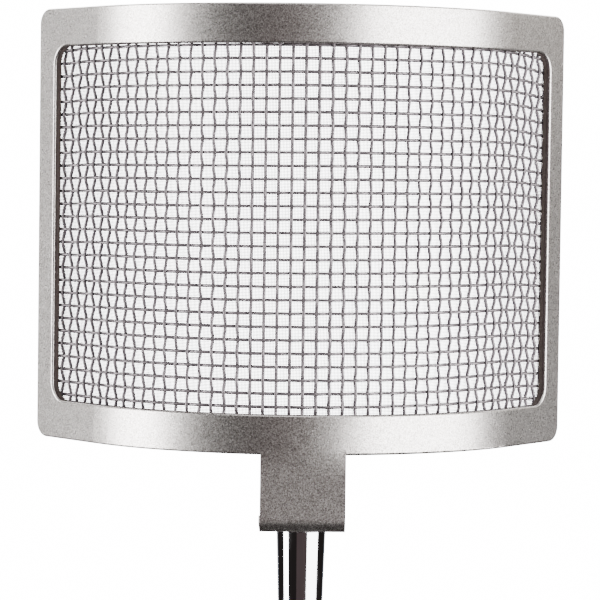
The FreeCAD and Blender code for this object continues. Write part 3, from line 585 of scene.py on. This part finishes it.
# A mask of the window's inner wall, 0.5 to 1.3 mm behind the face, where the painted shade goes.
shaded_window_wall = (behind > edge_front) * (behind < edge_back) * (aside < edge_aside) * (from_middle < edge_up)
paint = sand.blend(mottle, (0.31, 0.284, 0.268), (0.85, 0.81, 0.78))
# On that wall the coat gives way to a dark brown painted shade, with no metal and more roughness.
sand.set("Base Color", sand.blend(shaded_window_wall, paint, (0.035, 0.022, 0.02)))
sand.set("Metallic", 1 - shaded_window_wall)
sand.set("Roughness", sand.spread(glint, 0.0, 1.0, 0.27, 0.36) + shaded_window_wall * 0.4)
sand.set("Normal", sand.bump(coarse * 0.6 + fine * 0.4, 0.08 * mm, 0.26))
sand.put_on(nodes["front_bezel"], nodes["rear_bezel"])


# ---- Gasket
# A dark brown foam band, die-cut to the bezel's band, put in as painted shade to darken the window's
# edge.
gasket_shade = Finish("painted_shade_foam", (0.05, 0.035, 0.03), roughness=0.85)
pores = gasket_shade.noise(0.25 * mm, 3.0)
# Its dark brown is painted shade along the window's edge; the pores are the band's own texture.
gasket_shade.set("Base Color", gasket_shade.blend(pores, (0.026, 0.018, 0.015), (0.085, 0.062, 0.055)))
gasket_shade.set("Normal", gasket_shade.bump(pores, 0.05 * mm, 0.7))
gasket_shade.put_on(nodes["bezel_gasket"])


# ---- Woven cloth
# Plain-woven steel wire: each upright passes in front of one crosswise wire and behind the next.
# The wires are crimped, the uprights most, and the cloth is curved with the bezel that holds it.
cloth_radius = bend_radius - 2.95 * mm
weave_pitch = 3.5 * mm
row_pitch = 3.515 * mm
off_middle = -0.33 * mm
skew = 0.0042
wire_radius = 0.44 * mm
upright_crimp = 0.36 * mm
level_crimp = 0.34 * mm
cloth_flank = 25.7 * mm
half_width = cloth_radius * bend_angle + cloth_flank


def on_head(run, height, out):
    """A point at a run along the curve from the middle, a height, and a distance out of the cloth."""
    radius = cloth_radius + out
    arc = cloth_radius * bend_angle
    side = math.copysign(1, run)
    flat = max(0.0, abs(run) - arc)
    turn = min(abs(run), arc) / cloth_radius
    x = radius * math.sin(turn) + flat * math.cos(turn)
    y = centre_y - radius * math.cos(turn) + flat * math.sin(turn)
    return Vector((side * x, y, height))


def wires(name, routes):
    """Round wires along lists of points, made one mesh."""
    line = bpy.data.curves.new(name, "CURVE")
    line.dimensions = "3D"
    line.bevel_depth = wire_radius
    line.bevel_resolution = 1
    line.use_fill_caps = True
    for points in routes:
        spline = line.splines.new("POLY")
        spline.points.add(len(points) - 1)
        for point, at in zip(spline.points, points):
            point.co = (*at, 1)
    drawn = bpy.data.objects.new(name + "_line", line)
    bpy.context.scene.collection.objects.link(drawn)
    bpy.context.view_layer.update()
    mesh = bpy.data.meshes.new_from_object(drawn.evaluated_get(bpy.context.evaluated_depsgraph_get()))
    bpy.data.objects.remove(drawn)
    mesh.shade_smooth()
    mesh.name = name
    thing = bpy.data.objects.new(name, mesh)
    bpy.context.scene.collection.objects.link(thing)
    return thing


steps_per_cell = 6
top_row = cloth_high.z - 2.2 * mm
rows = int((top_row - cloth_low.z - 0.8 * mm) / row_pitch)
half_columns = int(half_width / weave_pitch)


def sag(run, row):
    """How far the weave hangs near the cloth's ends, most at its upper right."""
    start, reach = 56 * mm, 27 * mm
    upper, lower = (1.9 * mm, 0.7 * mm) if run > 0 else (0.5 * mm, 0.0)
    near_end = max(0.0, abs(run) - start) / reach
    return near_end ** 2 * (upper + (lower - upper) * row / rows)


def upright(column):
    """An upright wire: it swings in front of every second row, the next wire in front of the others."""
    points = []
    count = (rows + 1) * steps_per_cell
    for i in range(count + 1):
        row = i / steps_per_cell - 0.4
        run = column * weave_pitch + off_middle
        height = top_row - row * row_pitch + skew * run - sag(run, row)
        swing = math.cos(math.pi * (row + column))
        points.append(on_head(run, height, upright_crimp * swing))
    return points


def level(row):
    """A crosswise wire, in front wherever the upright is behind."""
    points = []
    count = 2 * half_columns * steps_per_cell
    for i in range(count + 1):
        column = i / steps_per_cell - half_columns
        swing = -math.cos(math.pi * (row + column))
        run = column * weave_pitch + off_middle
        height = top_row - row * row_pitch + skew * run - sag(run, row)
        points.append(on_head(run, height, level_crimp * swing))
    return points


steel = Finish("cloth_wire", (0.10, 0.088, 0.088), metallic=0.6, roughness=0.42)
scale = steel.spread(steel.noise(0.7 * mm, 3.0), 0.35, 0.7, 0.0, 1.0)
steel.set("Base Color", steel.blend(scale, (0.07, 0.06, 0.066), (0.20, 0.175, 0.185)))
steel.set("Roughness", steel.spread(scale, 0.0, 1.0, 0.50, 0.32))
steel.set("Normal", steel.bump(steel.noise(0.25 * mm), 0.02 * mm, 0.6))

uprights = wires("cloth_uprights", [upright(n) for n in range(-half_columns, half_columns + 1)])
levels = wires("cloth_levels", [level(n) for n in range(rows + 1)])
for weave in (uprights, levels):
    steel.put_on(weave)
    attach(weave, "filter_head")
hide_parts("outer_mesh")


# ---- Inner screen
# A fine pale woven screen close behind the wires.
# It is a plain sheet, in which alpha cuts out the gaps between the threads.
screen_radius = bend_radius - 3.85 * mm
fine_pitch = 0.39 * mm


def screen_sheet():
    """A curved sheet with its own width and height in millimetres as its UV map."""
    shape = bmesh.new()
    bmesh.ops.create_grid(shape, x_segments=100, y_segments=2, size=0.5)
    width, height = 2 * half_width, cloth_high.z - cloth_low.z
    layer = shape.loops.layers.uv.new("threads")
    for face in shape.faces:
        for loop in face.loops:
            loop[layer].uv = (loop.vert.co.x * width / mm, loop.vert.co.y * height / mm)
    for vert in shape.verts:
        run, up = vert.co.x * width, vert.co.y * height
        vert.co = on_head(run, cloth_middle + up, screen_radius - cloth_radius)
    return made("fine_screen", shape)


screen = screen_sheet()
veil = Finish("pale_screen", (0.80, 0.80, 0.85), roughness=0.6)
weave_uv = veil.add("ShaderNodeUVMap", {"uv_map": "threads"}, {})
u = veil.add("ShaderNodeSeparateXYZ", {}, {0: weave_uv}, "X")
v = veil.add("ShaderNodeSeparateXYZ", {}, {0: weave_uv}, "Y")
widen_from, widen_to = 30.0, 80.0
edgeward = veil.spread(u * u, widen_from ** 2, widen_to ** 2, 0.0, 1.0)


def threads(along):
    """1 on a thread and 0 in the gap beside it; threads are drawn wider towards the sides."""
    half = fine_pitch / mm / 2
    away = veil.add("ShaderNodeMath", {"operation": "PINGPONG"}, {0: along, 1: half})
    return away < half * (0.42 + 0.10 * edgeward)


warp, weft = threads(u), threads(v)
veil.set("Alpha", veil.add("ShaderNodeMath", {"operation": "MAXIMUM"}, {0: warp, 1: weft}))
veil.set("Base Color", veil.blend(warp, (0.84, 0.84, 0.89), (0.76, 0.76, 0.82)))
veil.put_on(screen)
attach(screen, "filter_head")
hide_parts("inner_screen")
